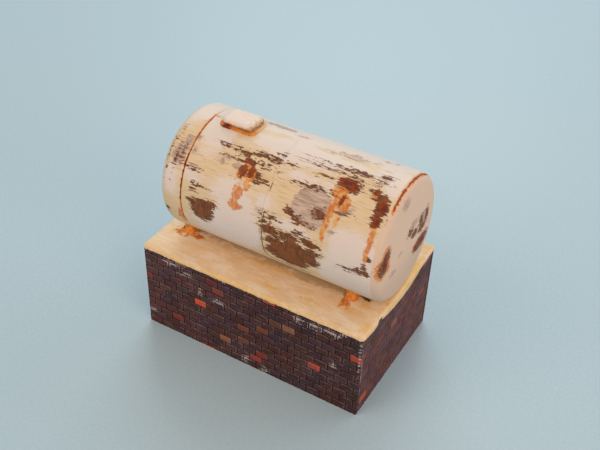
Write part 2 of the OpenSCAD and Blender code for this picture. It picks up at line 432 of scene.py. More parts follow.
def patch_field(u, v, patches, v_mm=0):
    """How deep points lie in the nearest oval patch: 1 at its centre, 0 on its edge, less outside.

    A patch is (centre u, centre v, half length along u, half length along v). When v_mm is given, the
    length in mm of one unit of v, the depth is in mm instead."""
    field = np.full(u.shape, float(OUTSIDE))
    for centre_u, centre_v, half_u, half_v in patches:
        size = min(half_u, half_v * v_mm) if v_mm else 1
        depth = 1 - np.hypot((u - centre_u) / half_u, (v - centre_v) / half_v)
        field = np.maximum(field, depth * size)
    return field


def plan_field(points, patches):
    """The patch field of patches laid out in X and Y."""
    return patch_field(points[:, 0], points[:, 1], patches)


def steps(start, end, size):
    """Evenly spaced numbers from start up to but not including end, about size apart."""
    return np.linspace(start, end, max(2, round(abs(end - start) / size) + 1))[:-1]


def ring_faces(count, rings):
    """Faces of a closed solid whose points are a centre, the rings in order, and another centre."""
    here = np.arange(count)
    there = np.roll(here, -1)
    last = 1 + count * (rings - 1)
    faces = [[0, 1 + b, 1 + a] for a, b in zip(here, there)]
    for ring in range(rings - 1):
        low, high = 1 + ring * count, 1 + (ring + 1) * count
        faces += np.column_stack([low + here, low + there, high + there, high + here]).tolist()
    faces += [[last + a, last + b, last + count] for a, b in zip(here, there)]
    return faces


def ring_solid(rings):
    """Points and faces of a closed solid through rings that all have the same number of points."""
    points = np.vstack([rings[0].mean(axis=0), *rings, rings[-1].mean(axis=0)])
    return points, ring_faces(len(rings[0]), len(rings))


def grid_solid(top, bottom):
    """Points and faces of a closed slab between two grids of the same shape."""
    rows, columns = top.shape[:2]
    index = np.arange(rows * columns).reshape(rows, columns)
    quads = np.stack([index[:-1, :-1], index[:-1, 1:], index[1:, 1:], index[1:, :-1]], axis=-1).reshape(-1, 4)
    border = np.concatenate([index[0, :-1], index[:-1, -1], index[-1, :0:-1], index[:0:-1, 0]])
    after = np.roll(border, -1)
    under = rows * columns
    sides = np.column_stack([after, border, border + under, after + under])
    faces = np.vstack([quads, quads[:, ::-1] + under, sides]).tolist()
    return np.vstack([top.reshape(-1, 3), bottom.reshape(-1, 3)]), faces


def rounded_outline(length, width, corner, count):
    """Evenly spaced points round a rectangle with round corners, centred on the origin."""
    corner = max(0.01, min(corner, length / 2, width / 2))
    arcs = []
    for quarter, (side_x, side_y) in enumerate([(1, 1), (-1, 1), (-1, -1), (1, -1)]):
        angle = np.linspace(0, math.pi / 2, 17) + quarter * math.pi / 2
        arc_x = side_x * (length / 2 - corner) + corner * np.cos(angle)
        arc_y = side_y * (width / 2 - corner) + corner * np.sin(angle)
        arcs.append(np.column_stack([arc_x, arc_y]))
    loop = np.vstack([*arcs, arcs[0][:1]])
    walked = np.concatenate([[0], np.cumsum(np.hypot(*np.diff(loop, axis=0).T))])
    wanted = np.arange(count) * walked[-1] / count
    return np.column_stack([np.interp(wanted, walked, loop[:, axis]) for axis in (0, 1)])


def slab_rings(length, width, corner, count, levels):
    """Rings of a rounded slab. A level is (scale of the ring, its inset, its height)."""
    rings = []
    for scale, inset, height in levels:
        outline = rounded_outline(length - 2 * inset, width - 2 * inset, corner - inset, count) * scale
        rings.append(np.column_stack([outline, np.full(count, height)]))
    return rings


def add_object(name, data):
    made = bpy.data.objects.new(name, data)
    bpy.context.scene.collection.objects.link(made)
    return made


def piece(name, node, material, points, faces, fields, body="plinth_and_tub", sharp=40):
    """A mesh object that replaces a CAD node, rides on its body and carries fields at its points."""
    mesh = bpy.data.meshes.new(name)
    mesh.from_pydata((points * MM).tolist(), [], faces)
    work = bmesh.new()
    work.from_mesh(mesh)
    bmesh.ops.recalc_face_normals(work, faces=work.faces)
    work.to_mesh(mesh)
    work.free()
    mesh.shade_smooth()
    mesh.set_sharp_from_angle(angle=math.radians(sharp))
    for field, values in fields.items():
        mesh.attributes.new(field, "FLOAT", "POINT").data.foreach_set("value", values.astype(np.float32))
    mesh.materials.append(material)
    made = add_object(name, mesh)
    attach(made, body)
    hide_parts(node)
    return made


# ---- the tank's shells

# Weathering on the tank's side, as (x, angle, half length, half angle).
WHITE_COAT = [
    (-24, 12, 6, 27), (-36, -5, 5, 22), (-34.5, 73, 2.8, 11), (-10, 66, 8.5, 12), (-8, 95, 10.5, 22),
    (-27, 65, 4, 5), (-13, 108, 13, 16), (36, 74, 8.5, 15), (36, 101, 12, 28), (0, -22, 60, 19),
    (41, 4, 4, 18), (14, 32, 8, 3.5), (20, 5, 14, 5), (4, 10, 16, 13), (2, 64, 4, 7), (12, 74, 5, 3),
    (-24, -110, 14, 30), (22, -80, 16, 26), (6, -140, 30, 24),
]
GREY_WEAR = [
    (-33.6, 50, 3, 11), (-33.2, 43, 3.2, 5), (-32.2, 35, 2, 6), (-35.9, 26, 1, 6), (-28.5, 42, 1.4, 4),
    (-15.5, 38.5, 3, 3.2), (-11.3, 42, 2, 4), (-17, 42, 2, 3.4), (-10.5, 51.5, 2, 1.6), (-8, -18, 7, 5),
    (22.5, -6, 5.5, 5), (15.5, -3.3, 3.4, 1.8), (24, -10.5, 3, 2), (30.5, -9, 1.6, 2.2), (2, -12, 3, 2),
    (18.5, 53, 7.4, 19), (28.5, 45, 4, 5), (27, 66, 2, 3), (32, -20, 1, 4), (35, -22, 1, 4),
    (8, 40, 1.4, 1.4), (3, 69, 3, 2), (-29, 30, 1, 3), (-4, -70, 7, 9), (30, -104, 4, 9),
    (-35, -80, 2.4, 9),
]
BROWN_WEAR = [
    (-18.3, 28, 2, 1.5), (-15, 28, 2.2, 1.4), (-10.5, 29, 2.6, 1.3), (-4.5, 26, 3.2, 2.8),
    (0.5, 26.5, 1.9, 3.2), (-7, 30.5, 4, 1.2), (-3.5, 34.5, 4, 1.6), (-12, 36, 2.6, 1.2),
    (-2.8, 47, 3.4, 3.2), (-4.6, 43.5, 2.2, 3), (-27, 56.7, 3, 1.6), (-22.8, 69.3, 2.6, 1.3),
    (-24.8, 75, 1.3, 1.4), (-21.2, 92, 5, 11.5), (-18.3, 84, 2.8, 5), (-24, 86, 3, 3.6),
    (1.5, 18.8, 1.1, 1.2), (6.2, 25.4, 3, 1.3), (17.5, 24.3, 2.4, 1.3), (27.6, 10.6, 6, 2.6),
    (19.5, 11, 4, 1), (22, 16.8, 5, 1.2), (27, 18, 2.6, 1.3), (36.4, 6.2, 1.8, 2.4), (34.5, 13.3, 2, 1.3),
    (36, 17, 1.5, 1.3), (27.3, 25, 4.4, 7.2), (36, 22.4, 2.2, 4), (38.2, 26.5, 2.8, 4.4),
    (40.2, 34, 2.3, 8.6), (40.1, 46, 1.7, 6.5), (13.6, 38, 3.4, 1.8), (19, 36.3, 4, 1.7),
    (24, 37, 3, 1.6), (11.4, 62.3, 1.7, 3), (14, 65, 2.2, 1.9), (16.8, 68.2, 3.4, 2.8),
    (21.5, 56, 2.4, 4.6), (28.5, 49.5, 2.2, 1.3), (5, 72.5, 2.2, 1.9), (4, 79, 2.4, 2.8),
    (16, 77.5, 1.6, 1.7), (6, 85.5, 3.8, 5), (12.8, 84.5, 4.4, 4.4), (20.6, 82.6, 3.6, 4),
    (21.8, 90.5, 3.4, 4.2), (12.8, 104, 8.4, 15), (8, 95, 4, 7), (14.5, 92, 4.4, 8), (18, 98, 5, 8),
    (21, 101, 3.8, 6.5), (6, 108, 2.4, 4.5), (39.4, 90.5, 3, 3), (40.2, 85, 1.2, 5),
    (41.2, 77.5, 1.2, 2.2), (37.5, 92.6, 3, 1.2), (-37.3, 50, 0.4, 9), (-34.2, 52, 0.5, 7),
    (-32.4, 47, 0.4, 6), (-36.6, 106, 1, 2.4), (-19, -84, 4.6, 8), (-8, -66, 5, 2), (9, -104, 7, 9),
    (27, -62, 4, 4), (34, -96, 2.6, 6), (2, -54, 5, 1.4),
]
RUST_PATCHES = [
    (-8.5, 34.5, 1.6, 4), (-8.7, 44, 1.6, 7), (-5.7, 43, 1.4, 7), (-6.6, 36, 2, 2.6), (28, 25, 2.8, 5),
    (24.6, 23, 1.9, 3.6), (27.2, 40, 0.9, 7), (40.1, 34, 1.7, 6), (40, 46, 1.4, 5.5),
    (36.6, 23.2, 1.6, 2.4), (-19, -82, 1.6, 5), (28, -62, 1.8, 3),
]
ORANGE_RUNS = [
    (-8.8, 47, 2.2, 5), (-7.2, 39, 2, 5), (-5.8, 46, 2.1, 7), (-5.7, 55, 1.5, 4.6), (-8.3, 63, 2, 7),
    (-8.8, 74, 2.2, 5.5), (-7, 75, 1.8, 2.4), (25.6, 33, 2.8, 5), (27.2, 40, 2.8, 8), (29, 42, 1.6, 5.5),
    (25, 50, 1.3, 13), (24.5, 66, 1, 12), (27.8, 56, 0.9, 6), (40.4, 59, 1, 14), (40.2, 73, 0.9, 10),
    (36.3, 27.2, 1.2, 1.6), (-30.8, 109, 1.6, 10), (-29, 1.3, 2, 1.8),
]
SIDE_PATCHES = {
    "white": WHITE_COAT, "grey": GREY_WEAR, "brown": BROWN_WEAR, "rust": RUST_PATCHES, "orange": ORANGE_RUNS
}

# Weathering on the closed end, as (y, z, half width, half height).
END_BROWN = [
    (-20.1, 61.7, 3.4, 4.3), (-18.3, 65, 2.5, 2.9), (9, 53.2, 6.2, 3), (-1.7, 63.8, 2.2, 1.6),
    (2, 61.2, 2.6, 1.6), (8.4, 59.8, 3.6, 1.7), (-23.2, 78.2, 1.3, 1.2), (11.8, 63, 1.6, 3),
    (6.8, 63.4, 1.7, 2.8), (-18, 78, 1.2, 0.8),
]
END_GREY = [(-7, 78, 3, 2.4), (1, 66, 4, 1.8), (9.3, 62.6, 4, 4.4), (-12.5, 54, 2.5, 1.6), (-8, 59, 1.6, 1.2)]
END_RUST = [(-19.4, 62.5, 1.6, 3), (4.6, 53.2, 1.6, 1.4), (10, 53, 2.2, 1.5)]
END_ORANGE = [
    (-20.1, 61.6, 4.1, 5), (-18.6, 66.4, 2.8, 2.8), (-17.8, 59.6, 2.4, 2.4), (4.8, 54, 2, 1.7),
]
END_PATCHES = {"grey": END_GREY, "brown": END_BROWN, "rust": END_RUST, "orange": END_ORANGE}

# Where the side's weathering gives way to that of the closed end, and to plain paint on the cap's face.
END_TURN = (42.6, 43.0)
CAP_FACE_TURN = (CAP_LOW[0] + 2, CAP_LOW[0] + 1)

# How deep in the white coat the closed end and the cap's flat face lie, in mm.
END_COAT = 1.0

# The thin lines round the tank count double, or the paint's raggedness would break them up.
LINE_GAIN = 2
GROOVE_LINE, RIM_LINE = -30.3, 43.6


def round_angle(points):
    """Degrees round the tank from its top line, positive at the front, and distance from its axis."""
    forward, up = AXIS_Y - points[:, 1], points[:, 2] - AXIS_Z
    return np.degrees(np.arctan2(forward, up)), np.hypot(forward, up)


def seam_line(x, angle, along, half_width, ends):
    """Depth in mm in a line round the tank at x=along that runs between two angles."""
    across = half_width - np.abs(x - along)
    to_end = np.minimum(angle - ends[0], ends[1] - angle) * DEGREE_MM
    return np.minimum(across, to_end)


def weathering_and_shade(points, bare):
    """The fields that the tank paint reads, at points of the tank, its cap or its plate."""
    x = points[:, 0]
    angle, _ = round_angle(points)
    groove_dark = LINE_GAIN * seam_line(x, angle, GROOVE_LINE - 0.1, 0.3, (42, 90))
    groove_light = LINE_GAIN * seam_line(x, angle, GROOVE_LINE + 0.1, 0.62, (-1, 112))
    rim_dark = LINE_GAIN * seam_line(x, angle, RIM_LINE, 0.32, (-42, 34))
    rim_light = LINE_GAIN * seam_line(x, angle, RIM_LINE, 0.55, (-60, 36))
    side = {name: patch_field(x, angle, patches, DEGREE_MM) for name, patches in SIDE_PATCHES.items()}
    side["rust"] = np.maximum(side["rust"], groove_dark)
    side["orange"] = np.maximum(side["orange"], groove_light)
    end = {name: patch_field(points[:, 1], points[:, 2], patches, 1) for name, patches in END_PATCHES.items()}
    end["white"] = np.full(len(points), END_COAT)
    # Orange shows as a ring round the brown, not over it.
    end["orange"] = np.minimum(end["orange"], 0.5 - end["brown"])
    on_end = smooth_step(x, *END_TURN)
    on_cap_face = smooth_step(x, *CAP_FACE_TURN)
    fields = {}
    for name in side:
        on_cap = END_COAT if name == "white" else OUTSIDE
        fields[name] = side[name] + (end[name] - side[name]) * on_end + (on_cap - side[name]) * on_cap_face
    fields["rust"] = np.maximum(fields["rust"], rim_dark)
    fields["orange"] = np.maximum(fields["orange"], rim_light)
    fields["line"] = np.full(len(points), -1.0)
    # Where the flat ends take their beige, which is partly painted warm light.
    fields["flat_end"] = on_end + on_cap_face
    # Painted shade, darker low on the tank and most towards the closed end.
    fields["low_shade"] = 0.3 * smooth_step(points[:, 2], 60, 44) * (0.2 + 0.8 * smooth_step(x, 20, 40))
    fields["bare"] = bare
    return fields


def arc(centre_x, centre_r, radius, start, end, count):
    """Profile points on a quarter arc; the angles are degrees from the +X direction towards +R."""
    angle = np.radians(np.linspace(start, end, count))
    return list(zip(centre_x + radius * np.cos(angle), centre_r + radius * np.sin(angle)))


def dome(tip_x, crown, flat, toward):
    """Profile points of a shallow dome from its middle out; toward is the side that the crown is on."""
    return [(tip_x - toward * crown * (r / flat) ** 2, r) for r in steps(0.3, flat, 0.8)]


def along(x_start, x_end, radius, size):
    return [(x, radius) for x in steps(x_start, x_end, size)]


def turned(profile):
    """Points and faces of the solid that the profile makes when it turns about the tank's axis."""
    angle = np.arange(TURN_STEPS) * 2 * math.pi / TURN_STEPS
    rings = [
        np.column_stack([np.full(TURN_STEPS, x), AXIS_Y - r * np.sin(angle), AXIS_Z + r * np.cos(angle)])
        for x, r in profile
    ]
    return ring_solid(rings)


def uneven(points, amount):
    """Moves the tank's outer skin in and out a little, and leaves its bores and its neck true."""
    _, radius = round_angle(points)
    skin = smooth_step(radius, RADIUS - 0.3, RADIUS - 0.05)
    push = 1 + amount * skin * lumps(points, 16, 5) / RADIUS
    moved = points.copy()
    moved[:, 1] = AXIS_Y + (points[:, 1] - AXIS_Y) * push
    moved[:, 2] = AXIS_Z + (points[:, 2] - AXIS_Z) * push
    return moved


SKIN_LUMPS = 0.05
EDGE_ROUND = 0.3

# The stretch of the groove whose floor is painted, in degrees from the top line.
GROOVE_MIDDLE, GROOVE_HALF = 55, 62


def make_tub(paint):
    right = TUB_HIGH[0]
    bore = RADIUS - TUB_WALL
    flat = RADIUS - TUB_CORNER
    inner_tip = right - TUB_END_WALL
    inner_corner = TUB_CORNER - 1
    inner_rim = inner_tip - TUB_CROWN
    straight_end = right - TUB_CROWN - TUB_CORNER
    neck_end, bore_start = TUB_LOW[0], SHOULDER + TUB_WALL
    profile = [
        *dome(right, TUB_CROWN, flat, 1),
        *arc(straight_end, flat, TUB_CORNER, 0, 90, 12)[:-1],
        *along(straight_end, SHOULDER + 2, RADIUS, 0.55),
        *along(SHOULDER + 2, SHOULDER + EDGE_ROUND, RADIUS, 0.2),
        *arc(SHOULDER + EDGE_ROUND, RADIUS - EDGE_ROUND, EDGE_ROUND, 90, 180, 4),
        (SHOULDER, NECK_OUTER + 0.1),
        *along(SHOULDER, neck_end + NECK_CHAMFER, NECK_OUTER, 0.5),
        (neck_end + NECK_CHAMFER, NECK_OUTER),
        (neck_end, NECK_OUTER - NECK_CHAMFER),
        (neck_end, NECK_INNER + 0.1),
        (neck_end + 0.1, NECK_INNER),
        *along(neck_end + 0.4, bore_start, NECK_INNER, 1.5),
        (bore_start, NECK_INNER),
        (bore_start, bore),
        *along(bore_start + 0.3, inner_rim - inner_corner, bore, 3),
        *arc(inner_rim - inner_corner, bore - inner_corner, inner_corner, 90, 0, 7),
        *dome(inner_tip, TUB_CROWN, bore - inner_corner, 1)[::-2],
    ]
    points, faces = turned(profile)
    angle, radius = round_angle(points)
    inside = (radius < RADIUS - 0.6) & (points[:, 0] < inner_tip + 0.2)
    in_groove = (points[:, 0] <= SHOULDER + 0.1) & (points[:, 0] >= SHOULDER - 0.9)
    painted = in_groove & (np.abs(angle - GROOVE_MIDDLE) <= GROOVE_HALF)
    bare = inside & ~painted
    shaped, fields = uneven(points, SKIN_LUMPS), weathering_and_shade(points, bare.astype(float))
    piece("tank_shell", "tank_body", paint, shaped, faces, fields)


# How far the cap's rim sits nearer the shoulder than in the CAD, and how much more where it is closed.
RIM_NEARER, RIM_CLOSER = 0.28, 0.22


def make_cap(paint):
    left, rim = CAP_LOW[0], CAP_HIGH[0]
    flat = RADIUS - CAP_SHOULDER
    floor = left + CAP_CROWN + CAP_END_WALL
    straight_start = left + CAP_CROWN + CAP_SHOULDER
    profile = [
        *dome(left, CAP_CROWN, flat, -1),
        *arc(straight_start, flat, CAP_SHOULDER, 180, 90, 14)[:-1],
        *along(straight_start, rim - EDGE_ROUND, RADIUS, 0.25),
        *arc(rim - EDGE_ROUND, RADIUS - EDGE_ROUND, EDGE_ROUND, 90, 0, 4),
        (rim, CAP_BORE + 0.1),
        (rim - 0.1, CAP_BORE),
        *along(rim - 0.5, floor + CAP_INNER_CORNER, CAP_BORE, 1.2),
        *arc(floor + CAP_INNER_CORNER, CAP_BORE - CAP_INNER_CORNER, CAP_INNER_CORNER, 90, 180, 6),
        *[(floor, r) for r in steps(CAP_BORE - CAP_INNER_CORNER - 1, 0.3, 2)],
    ]
    points, faces = turned(profile)
    angle, radius = round_angle(points)
    bare = ((radius < RADIUS - 0.6) & (points[:, 0] > floor - 0.2)).astype(float)
    shaped = uneven(points, SKIN_LUMPS)
    # The groove is open only at the front: elsewhere the cap's rim sits close to the tub's shoulder.
    closed = 1 - smooth_step(angle, -6, 6) * (1 - smooth_step(angle, 122, 134))
    nearer = RIM_NEARER + RIM_CLOSER * closed
    shaped[:, 0] += nearer * smooth_step(points[:, 0], rim - 3, rim - 0.3)
    piece("tank_cap", "end_cap", paint, shaped, faces, weathering_and_shade(points, bare), body="cap")


# Distances in from the plate's edge at which its mesh has a line, and where the even mesh begins.
PLATE_EDGE_STEPS = np.array([0, 0.06, 0.16, 0.36, 0.52, 0.66, 0.84, 1.1])
PLATE_EDGE_BAND = 1.6
PLATE_SUNK = 0.15


def plate_grid(left, right, front, rear):
    """Places along the tank and round it of a grid over the plate, with its round front corners."""
    length, into, band = right - left, PLATE_EDGE_STEPS, PLATE_EDGE_BAND
    rows = np.concatenate([front - into, -steps(band - front, -rear - band, 0.32), rear + into[::-1]])
    spread = np.concatenate([into, steps(band, length - band, 0.6), length - into[::-1]])
    around = np.repeat(rows[:, None], len(spread), axis=1)
    into_corner = np.clip(around - (front - PLATE_CORNER), 0, PLATE_CORNER)
    inset = PLATE_CORNER - np.sqrt(PLATE_CORNER**2 - into_corner**2)
    return left + spread[None, :] - inset * (2 * spread[None, :] / length - 1), around


def plate_depth(x, around, left, right, front, rear):
    """Distance in from the plate's edge."""
    from_middle = np.abs(x - (left + right) / 2)
    to_side = (right - left) / 2 - from_middle
    across = np.maximum(PLATE_CORNER - to_side, 0)
    down = np.maximum(around - front + PLATE_CORNER, 0)
    edge_depth = np.minimum(to_side, np.minimum(front - around, around - rear))
    return np.where((across > 0) & (down > 0), PLATE_CORNER - np.hypot(across, down), edge_depth)


def plate_height(x, depth):
    """Height above the tub: a bead along the edge, which fades to a feathered edge to the right."""
    beaded = np.interp(depth, [0, 0.06, 0.16, 0.4, 0.62, 0.85], [0.02, 0.16, 0.25, 0.25, 0.15, 0.13])
    feathered = 0.13 * smooth_step(depth, 0, 1.1)
    fade = smooth_step(x, 24, 34)
    return beaded * (1 - fade) + feathered * fade


def plate_edge_lines(x, degrees, depth):
    """Depth in the dark lines beside the bead: two low down, and one higher up that comes and goes."""
    inner_line = 0.26 - np.abs(depth - 0.66)
    outer_line = 0.17 - np.abs(depth - 0.04)
    low_down = smooth_step(degrees, 66, 74)
    broken = 0.3 * (1 - low_down) * (1 - np.exp(-(((degrees - 48) / 5) ** 2)))
    return np.maximum(inner_line - broken, outer_line - 0.6 * (1 - low_down)) - smooth_step(x, 18, 27)


def make_plate(paint):
    """The thin plate wrapped round the tub."""
    edges = (PLATE_LOW[0], PLATE_HIGH[0], PLATE_FRONT * DEGREE_MM, PLATE_REAR * DEGREE_MM)
    x, around = plate_grid(*edges)
    depth = plate_depth(x, around, *edges)
    degrees = around / DEGREE_MM
    angle = np.radians(degrees)

    def skin(radius):
        return np.stack([x, AXIS_Y - radius * np.sin(angle), AXIS_Z + radius * np.cos(angle)], axis=-1)

    flat_place = skin(RADIUS).reshape(-1, 3)
    bulge = SKIN_LUMPS * lumps(flat_place, 16, 5).reshape(x.shape)
    points, faces = grid_solid(skin(RADIUS + plate_height(x, depth) + bulge), skin(RADIUS - PLATE_SUNK))
    fields = weathering_and_shade(np.vstack([flat_place, flat_place]), np.zeros(len(points)))
    fields["line"] = np.tile(plate_edge_lines(x, degrees, depth).ravel(), 2)
    piece("tank_plate", "wrap_plate", paint, points, faces, fields)


# ---- hatch and feet

OUTLINE_POINTS = 120

# Wear on the flange, with dark rust and painted shade in the gap under the lid's lifted front edge, as
# (x, y, half length, half width), and wear on the lid's side, as (x, z, ...) from its own middle and
# underside.
# Dark rust, deepened by painted shade under the lid's lifted front edge.
FLANGE_DARK_RUST_AND_SHADE = [(-22.8, -6.8, 2.2, 1.3)]
FLANGE_PALE = [(-12.6, 0, 1.6, 6), (-27.5, 0, 1.8, 7), (-20, 7, 12, 5)]
LID_WORN = [(6.6, 0.8, 3.2, 1.6), (3, 0.3, 5, 0.8)]


def tank_top(y, radius):
    """Height of a shell of the radius round the tank's axis, above each y."""
    return AXIS_Z + np.sqrt(radius**2 - (y - AXIS_Y) ** 2)


def make_flange(material):
    low, high = box_mm("hatch_flange")
    centre = (low + high) / 2
    length, width = high[0] - low[0], high[1] - low[1]
    thick = FLANGE_THICK
    levels = [
        (0.3, 0, -0.1), (0.7, 0, -0.1), (1, 0.1, -0.1), (1, 0, 0.05), (1, 0, thick * 0.55),
        (1, 0.12, thick * 0.85), (1, 0.32, thick * 0.98), (1, 0.7, thick), (0.7, 0, thick), (0.3, 0, thick),
    ]
    points, faces = ring_solid(slab_rings(length, width, 2, OUTLINE_POINTS, levels))
    points[:, 0] += centre[0] + 0.16 * lumps(points, 5, 3)
    points[:, 1] += centre[1]
    points[:, 2] += tank_top(points[:, 1], RADIUS)
    points[:, 2] = np.minimum(points[:, 2], high[2] + 0.05)
    fields = {"dark": plan_field(points, FLANGE_DARK_RUST_AND_SHADE), "pale": plan_field(points, FLANGE_PALE)}
    piece("hatch_flange_rusty", "hatch_flange", material, points, faces, fields)


def make_lid(material):
    """A soft-edged slab, a little domed, whose front left edge has lifted."""
    low, high = box_mm("hatch_lid")
    centre = (low + high) / 2
    length, width, thick = high - low
    levels = [
        (0.3, 0, 0.02), (0.7, 0, 0.02), (1, 0.5, 0.02), (1, 0.2, 0.1), (1, 0.04, 0.3), (1, 0, 0.6),
        (1, 0, thick - 0.95), (1, 0.08, thick - 0.6), (1, 0.28, thick - 0.32), (1, 0.6, thick - 0.14),
        (1, 1.1, thick - 0.06), (0.7, 0, thick - 0.02), (0.4, 0, thick), (0.15, 0, thick),
    ]
    points, faces = ring_solid(slab_rings(length, width, 2.2, OUTLINE_POINTS, levels))
    local = points.copy()
    points[:, :2] += 0.1 * lumps(local, 6, 8)[:, None]
    lifted = np.exp(-(((local[:, 0] + 3.2) / 2.2) ** 2) - ((local[:, 1] + width / 2) / 1.4) ** 2)
    points[:, 2] += 0.55 * lifted * (1 - local[:, 2] / thick)
    points[:, 2] -= 0.1 * smooth_step(local[:, 0], 2, length / 2) * local[:, 2] / thick
    points += [centre[0], centre[1], low[2]]
    fields = {"worn": patch_field(local[:, 0], local[:, 2], LID_WORN)}
    fields["rust"] = np.where(local[:, 2] < 0.06, 0.6, -0.5 - local[:, 2])
    piece("hatch_lid_worn", "hatch_lid", material, points, faces, fields)


def make_foot(node, material):
    """A stub foot, spread a little where it meets the ground, with its top hollowed to the tank."""
    low, high = box_mm(node)
    centre = (low + high) / 2
    length, width = high[0] - low[0], high[1] - low[1]
    ground = low[2]
    # The left feet stop a little short of the tank.
    gap = 0.3 if centre[0] < 0 else 0.0
    spread = [(0.5, 0, -0.2), (1, -0.5, -0.2), (1, -0.45, 0.1), (1, -0.15, 0.45), (1, 0.05, 0.9)]
    levels = [*spread, (1, 0.1, 5), (1, 0.2, 9), (0.6, 0, 9), (0.2, 0, 9)]
    points, faces = ring_solid(slab_rings(length, width, 0.8, 72, levels))
    local = points.copy()
    points[:, :2] += 0.14 * lumps(local, 3, 21)[:, None] * (local[:, 2] < 3)[:, None]
    points += [centre[0], centre[1], ground]
    under = AXIS_Z - np.sqrt((RADIUS + gap) ** 2 - (points[:, 1] - AXIS_Y) ** 2)
    points[:, 2] = np.minimum(points[:, 2], under)
    points[:, 0] += 0.1 * lumps(points, 2.5, 4)
    fields = {"dark": smooth_step(points[:, 2], ground + 1.2, ground + 3) * 0.6 - 0.4}
    fields["pale"] = np.full(len(points), -1.0)
    piece(f"{node}_rusty", node, material, points, faces, fields)


# ---- brick sheets

BRICK_LENGTH = 5.3
COURSE = 3.06
# The height of the joint under the top course, and where bricks start in even and in odd courses.
FIRST_COURSE_LINE = 34.1
BOND_START = {0: -47.5, 1: -44.85}
RELIEF = 0.25

# Where the mesh has lines beside a joint, between the ends of bricks and between courses.
END_JOINT_LINES = (-0.32, -0.12, 0.12, 0.32, 1.0, 1.65)
COURSE_JOINT_LINES = (-0.3, -0.12, 0.12, 0.3, 1.1, 1.96)

TAN = (140, 94, 66)
BRIGHT_ORANGE = (206, 88, 46)
DULL_RED = (122, 52, 44)
MAROON = (104, 44, 48)

# Odd bricks out on the front sheet, as (course from the top, brick from the left): colour.
FRONT_ACCENTS = {
    (0, 3): TAN, (0, 10): (176, 76, 54), (1, 5): MAROON, (2, 6): (124, 64, 54), (3, 10): (96, 58, 46),
    (3, 11): TAN, (3, 16): (172, 70, 48), (4, 0): DULL_RED, (5, 4): BRIGHT_ORANGE, (5, 9): (114, 64, 44),
    (6, 8): (116, 64, 54), (7, 13): (178, 76, 60), (8, 8): (112, 66, 48), (9, 2): DULL_RED, (9, 6): TAN,
    (9, 9): DULL_RED, (10, 9): (142, 62, 54), (12, 5): BRIGHT_ORANGE,
}
RIGHT_ACCENTS = {(3, 3): (118, 60, 50), (10, 4): (170, 84, 56), (4, 8): (136, 92, 80), (5, 12): (128, 78, 72)}

# White scuffs, as (place along the sheet, height, half length, half height).
FRONT_SCUFFS = [
    (-1.5, 3, 2, 3), (6.5, 1.5, 2.6, 1.6), (6, 36, 1, 1.2), (26.5, 33, 3.4, 2), (33, 33.4, 4.5, 1.8),
    (37, 35.2, 2.5, 1), (43.7, 27, 0.6, 10), (-43.5, 6.5, 2.2, 1.4), (-21, 26, 1.4, 2.2),
    (-13, 25, 3.4, 1.6), (34, 19, 1.6, 1.6), (-10.4, 35.2, 0.6, 0.8), (-33, 33.6, 4.5, 1.3),
    (-26, 31.8, 3, 1.3), (-29, 30, 2, 1), (20, 33, 3, 2), (43.8, 33, 0.7, 3),
]
RIGHT_SCUFFS = [(-27, 20, 0.6, 12), (22, 35, 4, 1.5)]
BACK_SCUFFS = [(20, 3, 3, 2), (-30, 34, 4, 2)]
LEFT_SCUFFS = [(10, 2, 3, 2), (-20, 34, 4, 2)]

BRICK_TONES = [
    (72, 43, 44), (76, 44, 47), (66, 43, 54), (72, 47, 44), (63, 45, 51), (80, 42, 41), (70, 48, 58),
    (74, 43, 38),
]

# A sheet's side, the axis it runs along, the way it looks, its odd bricks and scuffs, its painted light as a
# lightness factor at its two ends, and its seed.
SHEETS = [
    # Painted light: the front sheet lighter at its left end and darker at its right, the right sheet lighter
    # all over.
    ("front", 0, -1, FRONT_ACCENTS, FRONT_SCUFFS, (1.12, 0.88), 11),
    ("back", 0, 1, {}, BACK_SCUFFS, (1, 1), 12),
    ("right", 1, 1, RIGHT_ACCENTS, RIGHT_SCUFFS, (1.28, 1.28), 13),
    ("left", 1, -1, {}, LEFT_SCUFFS, (1, 1), 14),
]


def course_of(height):
    return np.floor((FIRST_COURSE_LINE - height) / COURSE).astype(int) + 1


def brick_of(place, course):
    start = np.where(course % 2 == 0, BOND_START[0], BOND_START[1])
    return np.floor((place - start) / BRICK_LENGTH).astype(int)


def joint_distance(place, height):
    """Distance in mm to the middle of the nearest joint between bricks."""
    lines = (height - FIRST_COURSE_LINE) / COURSE
    to_line = np.abs(lines - np.round(lines)) * COURSE
    start = np.where(course_of(height) % 2 == 0, BOND_START[0], BOND_START[1])
    bricks = (place - start) / BRICK_LENGTH
    to_end = np.abs(bricks - np.round(bricks)) * BRICK_LENGTH
    return np.minimum(to_line, to_end)


def mesh_lines(first, spacing, offsets, low, high):
    """Grid lines at the offsets round every joint, from low to high."""
    joints = first + spacing * np.arange(-60, 60)
    lines = (joints[:, None] + np.array(offsets)).ravel()
    lines = lines[(lines > low + 0.12) & (lines < high - 0.12)]
    return np.sort(np.concatenate([[low, low + 0.1], lines, [high - 0.1, high]]))


def brick_colours(place, height, accents, painted_lightness, seed):
    """The colour of the brick at each point, with painted light: each tone is scaled by a factor that runs
    between the two given for the sheet's ends.
    """
    ends = (place.min(), place.max())
    course = course_of(height)
    brick = brick_of(place, course)
    colours = np.empty((len(place), 4))
    known = {}
    for index, key in enumerate(zip(course.tolist(), brick.tolist())):
        if key not in known:
            random = np.random.default_rng([seed, key[0] + 100, key[1] + 100])
            tone = np.array(BRICK_TONES[random.integers(len(BRICK_TONES))]) * random.uniform(0.86, 1.1)
            # Painted light: the tone grows lighter or darker along the sheet.
            tone *= np.interp(place[index], ends, painted_lightness)
            known[key] = linear(accents.get(key, tuple(tone)))
        colours[index] = known[key]
    return colours


